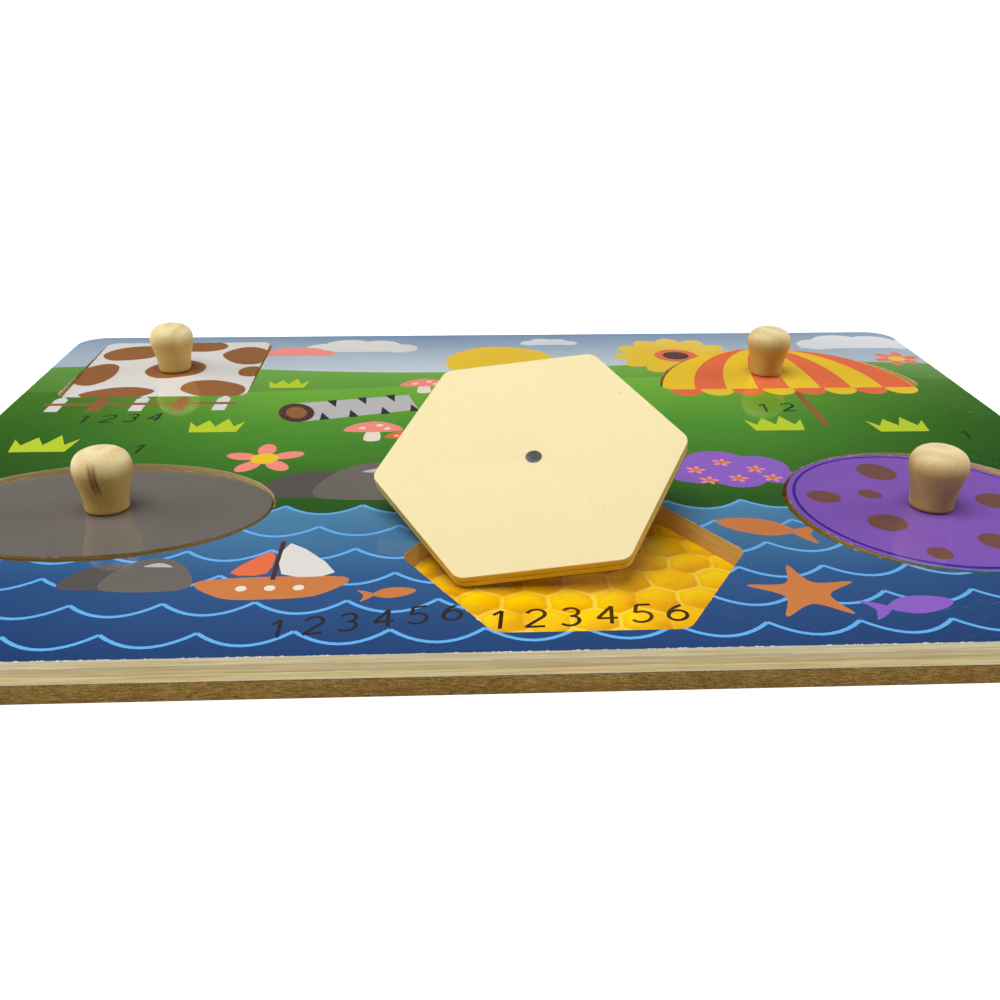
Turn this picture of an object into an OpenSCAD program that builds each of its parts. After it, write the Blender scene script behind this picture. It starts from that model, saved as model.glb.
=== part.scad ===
// Wooden peg puzzle: a two-layer board with six shaped pockets, and six shaped pieces with turned knobs.
// Origin: centre of the board's underside. +X runs along the board's width, +Y to its back edge, +Z up.
// Five pieces lie in their pockets. The hexagon lies upside down and leans across its own pocket.

/* [Board] */
// Width of the board, left to right
board_w = 300; // [285:1:360]
// Depth of the board, front to back
board_d = 222; // [210:1:270]
// Radius of the board's four corners, seen from above
board_corner_r = 9; // [4:0.5:16]
// Thickness of the base board that closes the pockets from below
base_t = 4.4; // [2.5:0.1:9]
// Thickness of the top board that the pockets are cut through
top_t = 4.9; // [4.4:0.1:9]
// Thickness of each printed sheet
sheet_t = 0.15; // [0.1:0.01:0.3]

/* [Pieces] */
// Thickness of the plywood in each piece
panel_t = 3.6; // [2.5:0.1:4.2]
// Gap all round between a piece and the wall of its pocket
side_gap = 0.9; // [0.4:0.05:1.5]
// Corner radius of the pockets that have corners
pocket_corner_r = 4.2; // [2.5:0.1:7]

/* [Knob] */
// Height of a knob above the piece
knob_h = 15.8; // [13:0.1:22]
// Diameter of a knob's foot, where it stands on the piece
knob_foot_d = 10.6; // [7:0.1:13]
// Rounding at the rim of the foot
knob_foot_round = 1; // [0.3:0.1:2]
// Largest diameter of a knob
knob_bulb_d = 14.1; // [13.5:0.1:18]
// Height of the largest diameter above the piece
knob_bulb_z = 10.7; // [7:0.1:12.5]

/* [Nail] */
// Diameter of the domed nail head under a piece
nail_head_d = 3.9; // [3:0.1:6]
// Height of the domed nail head
nail_head_h = 0.95; // [0.5:0.05:1.4]
// Diameter of the nail's shank
nail_shank_d = 2; // [1.4:0.1:2.6]
// Length of the nail under its head
nail_l = 12; // [8:0.5:14]
// Length of the nail's point
nail_point_l = 2; // [1:0.1:3]
// Air round the shank where the nail is driven in
nail_fit = 0.02; // [0.01:0.01:0.1]
// Running clearance of the round piece on its nail, round the shank and at both ends
turn_fit = 0.05; // [0.02:0.01:0.1]

/* [Square piece] */
// Side of the square pocket
square_side = 59.5; // [45:0.5:71]
// From the board's left edge to the square pocket
square_left_margin = 11; // [8:0.5:16]
// From the board's back edge to the square pocket
square_back_margin = 9; // [6:0.5:14]
// How far the square's knob stands to the right of its middle
square_knob_shift = 1; // [-4:0.1:4]
// Compass angle of the side on which the square piece lies lowest
square_low_angle = 270; // [0:5:360]

/* [Semicircle piece] */
// Radius of the semicircle pocket
semicircle_r = 42.6; // [34:0.1:50]
// From the board's right edge to the semicircle pocket
semicircle_right_margin = 12.5; // [9:0.5:16]
// From the board's back edge to the semicircle pocket
semicircle_back_margin = 24; // [18:0.5:28]
// How far the semicircle's knob stands to the right of its middle
semicircle_knob_shift = -4.2; // [-8:0.1:8]
// Compass angle of the side on which the semicircle piece lies lowest
semicircle_low_angle = 270; // [0:5:360]

/* [Triangle piece] */
// Side of the triangle pocket, measured to its sharp corners
triangle_side = 74; // [58:0.5:86]
// From the board's centre line to the triangle's centre
triangle_x = 8; // [0:0.5:14]
// From the board's centre line to the triangle's centre, towards the back
triangle_y = 17.5; // [14:0.5:22]
// Compass angle of the side on which the triangle piece lies lowest
triangle_low_angle = 90; // [0:5:360]

/* [Oval piece] */
// Width of the oval pocket
oval_w = 84.4; // [70:0.2:100]
// Depth of the oval pocket, front to back
oval_d = 57; // [46:0.2:68]
// From the board's left edge to the oval pocket
oval_left_margin = 6.6; // [5:0.1:10]
// From the board's front edge to the oval pocket
oval_front_margin = 40.5; // [32:0.5:48]
// How far the oval's knob stands to the right of its middle
oval_knob_shift = 2; // [-4:0.1:4]
// Compass angle of the side on which the oval piece lies lowest
oval_low_angle = 90; // [0:5:360]

/* [Circle piece] */
// Diameter of the circle pocket
circle_d = 70.8; // [58:0.2:84]
// From the board's right edge to the circle pocket
circle_right_margin = 12.6; // [8:0.1:15]
// From the board's front edge to the circle pocket
circle_front_margin = 27.8; // [23:0.1:33]
// Compass angle of the side on which the round piece lies lowest
circle_low_angle = 0; // [0:5:360]

/* [Hexagon piece] */
// Width of the hexagon pocket between its front and back flats
hexagon_flats = 67; // [55:0.5:78]
// From the board's centre line to the hexagon's centre
hexagon_x = 11.6; // [4:0.1:14]
// From the board's front edge to the hexagon pocket
hexagon_front_margin = 7; // [5:0.5:12]
// How far the hexagon's knob stands to the right of its middle
hexagon_knob_shift = 0.9; // [-3:0.1:3]
// Forward tilt of the leaning hexagon, about the board's width
lean_tilt_angle = 26.3; // [22:0.1:29]
// Sideways tilt of the leaning hexagon, about the board's depth
lean_roll_angle = -7.2; // [-9:0.1:-5]
// Turn of the leaning hexagon, seen from above
lean_yaw_angle = -1.7; // [-6:0.1:4]

/* [Hidden] */
$fn = 72;

// Numbers of straight steps in the curves
corner_steps = 8;
round_steps = 96;
curve_steps = 14;
// Number of places round a knob at which the leaning piece is measured
turn_steps = 72;

// Air between a piece and what it rests on
seat_gap = 0.05;
// Extra length of every cut
cut_overrun = 1;
// Room beyond the nail's point in the knob
nail_end_gap = 0.5;
// Pull of the curve handles, as shares of the rise or the width that the curve spans
taper_foot_share = 0.3;
taper_bulb_share = 0.35;
dome_side_share = 0.67;
dome_top_share = 0.78;

floor_z = base_t + sheet_t;
board_h = floor_z + top_t + sheet_t;
piece_t = panel_t + sheet_t;
nail_shank_r = nail_shank_d / 2;
nail_head_r = nail_head_d / 2;
nail_dome_r = (pow(nail_head_r, 2) + pow(nail_head_h, 2)) / (2 * nail_head_h);

// Outlines, as lists of points
function arc(centre, r, from, to, steps) =
    [for (i = [0 : steps]) let (a = from + (to - from) * i / steps) centre + r * [cos(a), sin(a)]];

function rounded_polygon(sides, inradius, corner_r, first) =
    let (half = 180 / sides, corner_at = (inradius - corner_r) / cos(half))
    [for (k = [0 : sides - 1]) let (a = first + 2 * half * k)
        each arc(corner_at * [cos(a), sin(a)], corner_r, a - half, a + half, corner_steps)];

function ellipse(a, b) =
    [for (i = [0 : round_steps - 1]) let (t = 360 * i / round_steps) [a * cos(t), b * sin(t)]];

function board_outline() =
    let (x = board_w / 2 - board_corner_r, y = board_d / 2 - board_corner_r)
    [for (k = [0 : 3]) let (side = [[1, 1], [-1, 1], [-1, -1], [1, -1]][k])
        each arc([side.x * x, side.y * y], board_corner_r, 90 * k, 90 * k + 90, corner_steps)];

function square_outline(inset = 0) =
    rounded_polygon(4, square_side / 2 - inset, pocket_corner_r - inset, 45);
function triangle_outline(inset = 0) =
    rounded_polygon(3, triangle_side / (2 * sqrt(3)) - inset, pocket_corner_r - inset, 90);
function hexagon_outline(inset = 0) =
    rounded_polygon(6, hexagon_flats / 2 - inset, pocket_corner_r - inset, 0);
function oval_outline(inset = 0) = ellipse(oval_w / 2 - inset, oval_d / 2 - inset);

// The flat side of the semicircle lies on the X axis of its own frame
function semicircle_outline(inset = 0) =
    let (r = semicircle_r - inset, c = pocket_corner_r - inset, y = pocket_corner_r,
         x = sqrt(pow(r - c, 2) - pow(y, 2)), join = atan2(y, x),
         dome = arc([0, 0], r, join, 180 - join, round_steps / 2))
    concat(arc([x, y], c, -90, join, corner_steps),
           [for (i = [1 : len(dome) - 2]) dome[i]],
           arc([-x, y], c, 180 - join, 270, corner_steps));

// Flat shapes of the pockets, and of the pieces where they are drawn smaller by a gap
module square_shape(inset = 0) { polygon(square_outline(inset)); }
module semicircle_shape(inset = 0) { polygon(semicircle_outline(inset)); }
module triangle_shape(inset = 0) { polygon(triangle_outline(inset)); }
module oval_shape(inset = 0) { polygon(oval_outline(inset)); }
module circle_shape(inset = 0) { circle(circle_d / 2 - inset); }
module hexagon_shape(inset = 0) { polygon(hexagon_outline(inset)); }

// Centres of the pockets, and of the knobs in each piece's own frame
square_at = [square_left_margin + square_side / 2 - board_w / 2,
             board_d / 2 - square_back_margin - square_side / 2];
semicircle_at = [board_w / 2 - semicircle_right_margin - semicircle_r,
                 board_d / 2 - semicircle_back_margin - semicircle_r];
triangle_at = [triangle_x, triangle_y];
oval_at = [oval_left_margin + oval_w / 2 - board_w / 2,
           oval_front_margin + oval_d / 2 - board_d / 2];
circle_at = [board_w / 2 - circle_right_margin - circle_d / 2,
             circle_front_margin + circle_d / 2 - board_d / 2];
hexagon_at = [hexagon_x, hexagon_front_margin + hexagon_flats / 2 - board_d / 2];
middle = [0, 0];
square_grip = [square_knob_shift, 0];
// Level with a semicircle's centre of area
semicircle_grip = [semicircle_knob_shift, 4 * semicircle_r / (3 * PI)];
oval_grip = [oval_knob_shift, 0];
hexagon_grip = [hexagon_knob_shift, 0];

// A piece rests on its domed nail head and on the edge at its low side, so it lies slightly tilted
function low_reach(outline, grip, low_angle) =
    max([for (p = outline) (p.x - grip.x) * cos(low_angle) + (p.y - grip.y) * sin(low_angle)]);

function rest_angle(outline, grip, low_angle, play) =
    let (reach = low_reach(outline, grip, low_angle), rise = nail_dome_r - nail_head_h - play)
    asin(nail_dome_r / norm([reach, rise])) - atan2(rise, reach);

module seated(outline, at, grip, low_angle, play = 0) {
    translate([at.x + grip.x, at.y + grip.y, floor_z + seat_gap + nail_dome_r])
        rotate(a = rest_angle(outline, grip, low_angle, play), v = [-sin(low_angle), cos(low_angle), 0])
            translate([-grip.x, -grip.y, nail_head_h + play - nail_dome_r])
                children();
}

// Side view of a knob: rounded foot, taper to the bulb, flattened dome
function curve(p, steps) =
    [for (i = [1 : steps]) let (t = i / steps, s = 1 - t)
        s * s * s * p[0] + 3 * s * s * t * p[1] + 3 * s * t * t * p[2] + t * t * t * p[3]];

function knob_profile() =
    let (foot_r = knob_foot_d / 2, bulb_r = knob_bulb_d / 2, taper_h = knob_bulb_z - knob_foot_round,
         dome_h = knob_h - knob_bulb_z)
    concat(arc([foot_r - knob_foot_round, knob_foot_round], knob_foot_round, -90, 0, corner_steps),
           curve([[foot_r, knob_foot_round],
                  [foot_r, knob_foot_round + taper_foot_share * taper_h],
                  [bulb_r, knob_bulb_z - taper_bulb_share * taper_h],
                  [bulb_r, knob_bulb_z]], curve_steps),
           curve([[bulb_r, knob_bulb_z],
                  [bulb_r, knob_bulb_z + dome_side_share * dome_h],
                  [dome_top_share * bulb_r, knob_h],
                  [0, knob_h]], curve_steps));

// Parts of a piece, in the piece's own frame: plain back at z = 0, printed face and knob above it.
// A panel's or a sheet's child is its flat shape.
module panel(grip, fit = nail_fit) {
    color("navajowhite")
        difference() {
            linear_extrude(panel_t) children();
            translate([grip.x, grip.y, -cut_overrun])
                cylinder(h = panel_t + 2 * cut_overrun, r = nail_shank_r + fit);
        }
}

module face_sheet(grip, tint, fit = nail_fit) {
    color(tint)
        translate([0, 0, panel_t])
            difference() {
                linear_extrude(sheet_t) children();
                translate([grip.x, grip.y, -cut_overrun])
                    cylinder(h = sheet_t + 2 * cut_overrun, r = nail_shank_r + fit);
            }
}

module knob(grip, play = 0) {
    bore_l = nail_l - play - piece_t - play + nail_end_gap;
    color("wheat")
        translate([grip.x, grip.y, piece_t + play])
            difference() {
                rotate_extrude() polygon(concat([[0, 0]], knob_profile()));
                translate([0, 0, -cut_overrun])
                    cylinder(h = bore_l + cut_overrun, r = nail_shank_r + nail_fit);
            }
}

module nail(grip, play = 0) {
    color("dimgray")
        translate([grip.x, grip.y, -play]) {
            intersection() {
                translate([0, 0, nail_dome_r - nail_head_h]) sphere(nail_dome_r);
                translate([0, 0, -nail_head_h]) cylinder(h = nail_head_h, r = nail_head_d);
            }
            cylinder(h = nail_l - nail_point_l, r = nail_shank_r);
            translate([0, 0, nail_l - nail_point_l])
                cylinder(h = nail_point_l, r1 = nail_shank_r, r2 = 0);
        }
}

// The leaning hexagon: turned upside down about the X axis, then tilted, rolled and turned
function turn_x(p, a) = [p.x, p.y * cos(a) - p.z * sin(a), p.y * sin(a) + p.z * cos(a)];
function turn_y(p, a) = [p.x * cos(a) + p.z * sin(a), p.y, p.z * cos(a) - p.x * sin(a)];
function turn_z(p, a) = [p.x * cos(a) - p.y * sin(a), p.x * sin(a) + p.y * cos(a), p.z];
function leaned(p) = turn_z(turn_y(turn_x(p, 180 + lean_tilt_angle), lean_roll_angle), lean_yaw_angle);

// Its panel's corners, on the plain back and on the printed face, and rings of points up its knob
lean_outline = hexagon_outline(side_gap);
lean_faces = [for (z = [0, piece_t]) [for (p = lean_outline) leaned([p.x, p.y, z])]];
lean_rings = [for (q = knob_profile()) [for (k = [0 : turn_steps - 1]) let (a = 360 * k / turn_steps)
    leaned([hexagon_grip.x + q.x * cos(a), hexagon_grip.y + q.x * sin(a), piece_t + q.y])]];
lean_sides = [for (i = [0 : len(lean_outline) - 1]) let (next = (i + 1) % len(lean_outline))
    each [[lean_faces[0][i], lean_faces[0][next]],
          [lean_faces[1][i], lean_faces[1][next]],
          [lean_faces[0][i], lean_faces[1][i]]]];
knob_lines = [for (i = [1 : len(lean_rings) - 1], k = [0 : turn_steps - 1])
    [lean_rings[i - 1][k], lean_rings[i][k]]];

// What lies below a level: the lower ends of lines, and the places where lines pass through it
function below(lines, level) =
    [for (e = lines) each [
        if (e[0].z <= level) e[0],
        if ((e[0].z > level) != (e[1].z > level)) e[0] + (e[1] - e[0]) * (level - e[0].z) / (e[1].z - e[0].z)
    ]];

// Down until its lowest corner or its knob is on the pocket's floor
lean_z = floor_z + seat_gap - min([for (e = concat(lean_sides, knob_lines)) min(e[0].z, e[1].z)]);
lean_level = board_h + seat_gap - lean_z;
// Back until its knob meets the pocket's back wall
lean_y = hexagon_at.y + hexagon_flats / 2 - seat_gap - max([for (p = below(knob_lines, lean_level)) p.y]);

// Left wall of the pocket at a distance y from the pocket's middle line, with its rounded corner
function pocket_left(y) =
    let (flats = hexagon_flats / 2 - seat_gap, r = pocket_corner_r - seat_gap)
    abs(y) < r * sin(30)
        ? (r - flats) / cos(30) - sqrt(pow(r, 2) - pow(y, 2))
        : abs(y) * tan(30) - flats / cos(30);

// Left until its edge meets that wall
lean_x = hexagon_at.x
    + max([for (p = below(lean_sides, lean_level)) pocket_left(p.y + lean_y - hexagon_at.y) - p.x]);

module leaning() {
    translate([lean_x, lean_y, lean_z])
        rotate([180 + lean_tilt_angle, lean_roll_angle, lean_yaw_angle])
            children();
}

// The board
module pockets() {
    translate(square_at) square_shape();
    translate(semicircle_at) semicircle_shape();
    translate(triangle_at) triangle_shape();
    translate(oval_at) oval_shape();
    translate(circle_at) circle_shape();
    translate(hexagon_at) hexagon_shape();
}

module pocketed_plate() {
    difference() {
        polygon(board_outline());
        pockets();
    }
}

module base_board() {
    color("peru") linear_extrude(base_t) polygon(board_outline());
}

module floor_sheet() {
    color("goldenrod") translate([0, 0, base_t]) linear_extrude(sheet_t) polygon(board_outline());
}

module top_board() {
    color("burlywood") translate([0, 0, floor_z]) linear_extrude(top_t) pocketed_plate();
}

module top_sheet() {
    color("steelblue") translate([0, 0, floor_z + top_t]) linear_extrude(sheet_t) pocketed_plate();
}

// Where each seated piece lies
module square_seat() {
    seated(square_outline(side_gap), square_at, square_grip, square_low_angle) children();
}

module semicircle_seat() {
    seated(semicircle_outline(side_gap), semicircle_at, semicircle_grip, semicircle_low_angle) children();
}

module triangle_seat() {
    seated(triangle_outline(side_gap), triangle_at, middle, triangle_low_angle) children();
}

module oval_seat() {
    seated(oval_outline(side_gap), oval_at, oval_grip, oval_low_angle) children();
}

module circle_seat() {
    circle_r = circle_d / 2 - side_gap;
    seated(ellipse(circle_r, circle_r), circle_at, middle, circle_low_angle, turn_fit) children();
}

// The square piece
module square_panel() { square_seat() panel(square_grip) square_shape(side_gap); }
module square_sheet() { square_seat() face_sheet(square_grip, "saddlebrown") square_shape(side_gap); }
module square_knob() { square_seat() knob(square_grip); }
module square_nail() { square_seat() nail(square_grip); }

// The semicircle piece
module semicircle_panel() { semicircle_seat() panel(semicircle_grip) semicircle_shape(side_gap); }
module semicircle_sheet() { semicircle_seat() face_sheet(semicircle_grip, "coral") semicircle_shape(side_gap); }
module semicircle_knob() { semicircle_seat() knob(semicircle_grip); }
module semicircle_nail() { semicircle_seat() nail(semicircle_grip); }

// The triangle piece
module triangle_panel() { triangle_seat() panel(middle) triangle_shape(side_gap); }
module triangle_sheet() { triangle_seat() face_sheet(middle, "gainsboro") triangle_shape(side_gap); }
module triangle_knob() { triangle_seat() knob(middle); }
module triangle_nail() { triangle_seat() nail(middle); }

// The oval piece
module oval_panel() { oval_seat() panel(oval_grip) oval_shape(side_gap); }
module oval_sheet() { oval_seat() face_sheet(oval_grip, "gray") oval_shape(side_gap); }
module oval_knob() { oval_seat() knob(oval_grip); }
module oval_nail() { oval_seat() nail(oval_grip); }

// The round piece: its panel and sheet turn on the nail that holds the knob
module circle_panel() { circle_seat() panel(middle, turn_fit) circle_shape(side_gap); }
module circle_sheet() { circle_seat() face_sheet(middle, "mediumpurple", turn_fit) circle_shape(side_gap); }
module circle_knob() { circle_seat() knob(middle, turn_fit); }
module circle_nail() { circle_seat() nail(middle, turn_fit); }

// The hexagon piece
module hexagon_panel() { leaning() panel(hexagon_grip) hexagon_shape(side_gap); }
module hexagon_sheet() { leaning() face_sheet(hexagon_grip, "orange") hexagon_shape(side_gap); }
module hexagon_knob() { leaning() knob(hexagon_grip); }
module hexagon_nail() { leaning() nail(hexagon_grip); }

base_board();
floor_sheet();
top_board();
top_sheet();
square_panel();
square_sheet();
square_knob();
square_nail();
semicircle_panel();
semicircle_sheet();
semicircle_knob();
semicircle_nail();
triangle_panel();
triangle_sheet();
triangle_knob();
triangle_nail();
oval_panel();
oval_sheet();
oval_knob();
oval_nail();
circle_panel();
circle_sheet();
circle_knob();
circle_nail();
hexagon_panel();
hexagon_sheet();
hexagon_knob();
hexagon_nail();
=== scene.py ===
# The dressed peg puzzle: printed sheets, plywood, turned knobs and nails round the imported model
import random
from math import asin, cos, degrees, pi, radians, sin, sqrt, tau

import bmesh
import bpy
import numpy as np
from mathutils import Euler, Matrix, Vector
from mathutils.geometry import delaunay_2d_cdt


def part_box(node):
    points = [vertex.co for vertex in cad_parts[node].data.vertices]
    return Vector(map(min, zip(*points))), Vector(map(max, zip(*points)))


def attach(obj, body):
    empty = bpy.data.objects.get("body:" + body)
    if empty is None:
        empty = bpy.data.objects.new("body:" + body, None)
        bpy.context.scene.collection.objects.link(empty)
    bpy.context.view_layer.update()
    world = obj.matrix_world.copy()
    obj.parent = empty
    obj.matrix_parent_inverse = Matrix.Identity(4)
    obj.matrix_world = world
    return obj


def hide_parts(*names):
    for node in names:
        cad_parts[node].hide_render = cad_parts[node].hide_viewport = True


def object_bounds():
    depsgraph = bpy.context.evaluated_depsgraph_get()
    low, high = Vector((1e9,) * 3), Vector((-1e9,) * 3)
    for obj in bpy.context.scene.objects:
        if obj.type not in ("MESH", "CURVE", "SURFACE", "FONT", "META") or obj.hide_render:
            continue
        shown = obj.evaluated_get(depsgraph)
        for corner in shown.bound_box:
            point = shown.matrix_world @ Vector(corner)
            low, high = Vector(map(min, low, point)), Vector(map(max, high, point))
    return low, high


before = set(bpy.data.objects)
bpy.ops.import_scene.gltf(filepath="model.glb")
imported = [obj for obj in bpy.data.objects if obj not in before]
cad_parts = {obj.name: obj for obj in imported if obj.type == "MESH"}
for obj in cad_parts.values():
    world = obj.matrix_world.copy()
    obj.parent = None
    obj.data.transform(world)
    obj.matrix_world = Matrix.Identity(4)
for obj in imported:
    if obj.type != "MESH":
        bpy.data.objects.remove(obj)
cad_low, cad_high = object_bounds()

MM = 0.001
LEVEL = Matrix.Identity(4)
PIECES = ("square", "semicircle", "triangle", "oval", "circle", "hexagon")

# Heights in the board, in millimetres
FLOOR_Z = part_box("floor_sheet")[1].z / MM
TOP_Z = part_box("top_sheet")[1].z / MM
SHEET_T = TOP_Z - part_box("top_sheet")[0].z / MM

# Sizes of the lift-out pieces, in millimetres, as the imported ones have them
PANEL_T = 3.6
PIECE_T = PANEL_T + SHEET_T
KNOB_H, FOOT_R, FOOT_ROUND, BULB_R, BULB_Z = 15.8, 5.3, 1.0, 7.05, 10.7
NAIL_L, NAIL_POINT_L, NAIL_R, HEAD_R, HEAD_H = 12.0, 2.0, 1.0, 1.95, 0.95
NAIL_FIT, NAIL_END_GAP, TURN_PLAY = 0.02, 0.5, 0.05

# How far the rims are eased, in millimetres, and how far flaked film reaches in from a rim
BASE_EASE, PANEL_EASE = 0.35, 0.22
BOARD_CHIP, POCKET_CHIP, PIECE_CHIP = 0.34, 0.25, 0.2


# Shader building


def paint(red, green, blue):
    """The socket's value for a colour as it looks on a screen, 0 to 255."""

    def linear(level):
        share = level / 255
        return share / 12.92 if share <= 0.04045 else ((share + 0.055) / 1.055) ** 2.4

    return (linear(red), linear(green), linear(blue), 1.0)


class Wire:
    """A shader node's output, with arithmetic that adds Math nodes. Without one it is the bare shader."""

    def __init__(self, tree, socket=None):
        self.tree = tree
        self.socket = socket

    def node(self, kind, settings=None, inputs=None, output=0):
        made = self.tree.nodes.new("ShaderNode" + kind)
        for name, value in (settings or {}).items():
            if name == "stops":
                lay_stops(made.color_ramp, value)
            else:
                setattr(made, name, value)
        for name, value in (inputs or {}).items():
            if isinstance(value, Wire):
                self.tree.links.new(value.socket, made.inputs[name])
            else:
                made.inputs[name].default_value = value
        return Wire(self.tree, made.outputs[output] if made.outputs else None)

    def maths(self, operation, first, second=0.0):
        return self.node("Math", {"operation": operation}, {0: first, 1: second})

    def __add__(self, other):
        return self.maths("ADD", self, other)

    __radd__ = __add__

    def __sub__(self, other):
        return self.maths("SUBTRACT", self, other)

    def __rsub__(self, other):
        return self.maths("SUBTRACT", other, self)

    def __mul__(self, other):
        return self.maths("MULTIPLY", self, other)

    __rmul__ = __mul__

    def __truediv__(self, other):
        return self.maths("DIVIDE", self, other)

    def __abs__(self):
        return self.maths("ABSOLUTE", self)

    def __mod__(self, other):
        return self.maths("FLOORED_MODULO", self, other)

    def step(self, low, high):
        """Rises smoothly from 0 to 1 as the value goes from low to high, or falls where low is the larger."""
        easing = {"interpolation_type": "SMOOTHSTEP"}
        return self.node("MapRange", easing, {"Value": self, "From Min": low, "From Max": high})

    def mixed(self, share, first, second, how="MIX"):
        """Two colours, each a node's or written as it looks on a screen, mixed by a share."""
        first, second = (paint(*c) if isinstance(c, tuple) else c for c in (first, second))
        return self.node("Mix", {"data_type": "RGBA", "blend_type": how}, {0: share, 6: first, 7: second}, 2)

    def ramp(self, stops):
        """The colour that (place, colour) stops give at the value."""
        return self.node("ValToRGB", {"stops": stops}, {0: self})

    def place(self):
        """Where a point is on its piece, in metres, as three values."""
        apart = self.node("SeparateXYZ", inputs={0: self.node("TexCoord", output="Object")})
        return [Wire(self.tree, apart.socket.node.outputs[axis]) for axis in "XYZ"]

    def stretched(self, x, y, z):
        """The place on the piece with its three directions scaled, for a texture's Vector."""
        scaled = {"operation": "MULTIPLY"}
        return self.node("VectorMath", scaled, {0: self.node("TexCoord", output="Object"), 1: (x, y, z)})

    def noise(self, scale, detail=2.0, vector=None, roughness=0.5):
        """Soft noise about 0.5; scale is in lumps per metre."""
        where = vector or self.node("TexCoord", output="Object")
        lumps = {"Vector": where, "Scale": scale, "Detail": detail, "Roughness": roughness}
        return self.node("TexNoise", inputs=lumps)

    def grained(self, x, y, z, detail=2.0, roughness=0.5):
        """Noise with so many lumps per metre in each direction."""
        return self.noise(1.0, detail, self.stretched(x, y, z), roughness)

    def relief(self, height, depth):
        """A bump from a height between 0 and 1, with its depth in metres."""
        return self.node("Bump", inputs={"Height": height, "Distance": depth})


def lay_stops(ramp, stops):
    """Colour ramp stops as (place, colour) pairs."""
    while len(ramp.elements) < len(stops):
        ramp.elements.new(0.5)
    for element, (position, colour) in zip(ramp.elements, stops):
        element.position = position
        element.color = paint(*colour)


def material_named(name, build):
    """A material whose build(shader) returns its surface."""
    material = bpy.data.materials.new(name)
    material.use_nodes = True
    material.node_tree.nodes.clear()
    shader = Wire(material.node_tree)
    shader.node("OutputMaterial", inputs={"Surface": build(shader)})
    return material


def finish_named(name, build):
    """A material whose build(shader) returns the sockets of a Principled shader."""
    return material_named(name, lambda shader: shader.node("BsdfPrincipled", inputs=build(shader)))


# Finishes


def laminated(name, colour):
    """A printed ink under a smooth film. colour is a screen colour, or builds one from the shader."""

    def build(shader):
        ink = colour(shader) if callable(colour) else colour
        dots = shader.noise(2600).step(0.3, 0.7)
        clouding = shader.noise(45).step(0.3, 0.7)
        printed = shader.mixed((dots + clouding) * 0.06, ink, (255, 250, 240), "SOFT_LIGHT")
        x, y, _ = shader.place()
        slanting = shader.node("CombineXYZ", inputs={0: (x * 2 + y) * 90, 1: (x - y * 2) * 900})
        rubbed = shader.noise(1.0, 3, slanting).step(0.62, 0.74) * shader.noise(24, 1).step(0.5, 0.62)
        printed = shader.mixed(rubbed * 0.07, printed, (235, 240, 245))
        soft = shader.noise(150) * 0.8 + shader.noise(2200) * 0.2
        return {
            "Base Color": printed,
            "Specular IOR Level": 0.8,
            "Roughness": rubbed * 0.15 + clouding * 0.03 + 0.06,
            "Normal": shader.relief(soft, 0.000012),
        }

    return finish_named(name, build)


def blended(low_y, high_y, stops, side_shade):
    """An ink that changes between two places, in millimetres, and is darker at the board's sides, where a
    colour is multiplied in as painted shade of the light falling off.
    """

    def colour(shader):
        x, y, _ = shader.place()
        along = (y - low_y * MM) / ((high_y - low_y) * MM)
        return shader.mixed(abs(x).step(0.06, 0.15), along.ramp(stops), side_shade, "MULTIPLY")

    return colour


def honeycomb_ink(shader):
    """Amber cells with pale walls. The nearer of two staggered grids gives the cell, its border the wall."""
    pitch = 0.0098
    tall = pitch * sqrt(3)
    x, y, _ = shader.place()
    wobble = (shader.noise(75, 1) - 0.5) * 0.005
    x, y = x + wobble, y - wobble

    def grid(shift):
        u = (x + 1.0 + shift * pitch) % pitch - pitch / 2
        v = (y + 1.0 + shift * tall) % tall - tall / 2
        return u, v, u * u + v * v

    u0, v0, d0 = grid(0.0)
    u1, v1, d1 = grid(0.5)
    nearer = shader.maths("LESS_THAN", d0, d1)
    u = u0 * nearer + u1 * (1 - nearer)
    v = v0 * nearer + v1 * (1 - nearer)
    along = abs(u) * 0.5 + abs(v) * (sqrt(3) / 2)
    border = shader.maths("MAXIMUM", abs(u), along) / (pitch / 2)
    patchy = shader.noise(110, 3)
    wall = border.step(0.86, 0.97) * patchy.step(0.3, 0.55)
    glow = (v * 0.9 - u * 0.5) / pitch + patchy * 1.3 - 0.1
    cell = glow.ramp([(0.0, (216, 148, 2)), (0.4, (240, 180, 4)), (1.0, (254, 214, 10))])
    rim = border.step(0.6, 0.92) * 0.35
    return shader.mixed(wall * 0.8, shader.mixed(rim, cell, (224, 154, 0)), (252, 218, 78))


def bare_ply(shader):
    """Bare birch ply: faint long grain and tiny flecks."""
    grain = shader.grained(1500, 240, 1500, 4, 0.65)
    broad = shader.grained(60, 24, 60)
    dark, face, fleck = (237, 220, 168), (240, 224, 174), (190, 156, 96)
    colour = shader.mixed((grain * 0.7 + broad * 0.3).step(0.3, 0.62), dark, face)
    where = shader.stretched(190, 120, 190)
    spots = shader.node("TexVoronoi", inputs={"Vector": where, "Scale": 1.0})
    rare = shader.noise(55, 1).step(0.6, 0.63)
    colour = shader.mixed(spots.step(0.08, 0.03) * rare * 0.8, colour, fleck)
    return {
        "Base Color": colour,
        "Roughness": grain * 0.16 + 0.5,
        "Specular IOR Level": 0.25,
        "Normal": shader.relief(grain, 0.000008),
    }


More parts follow.
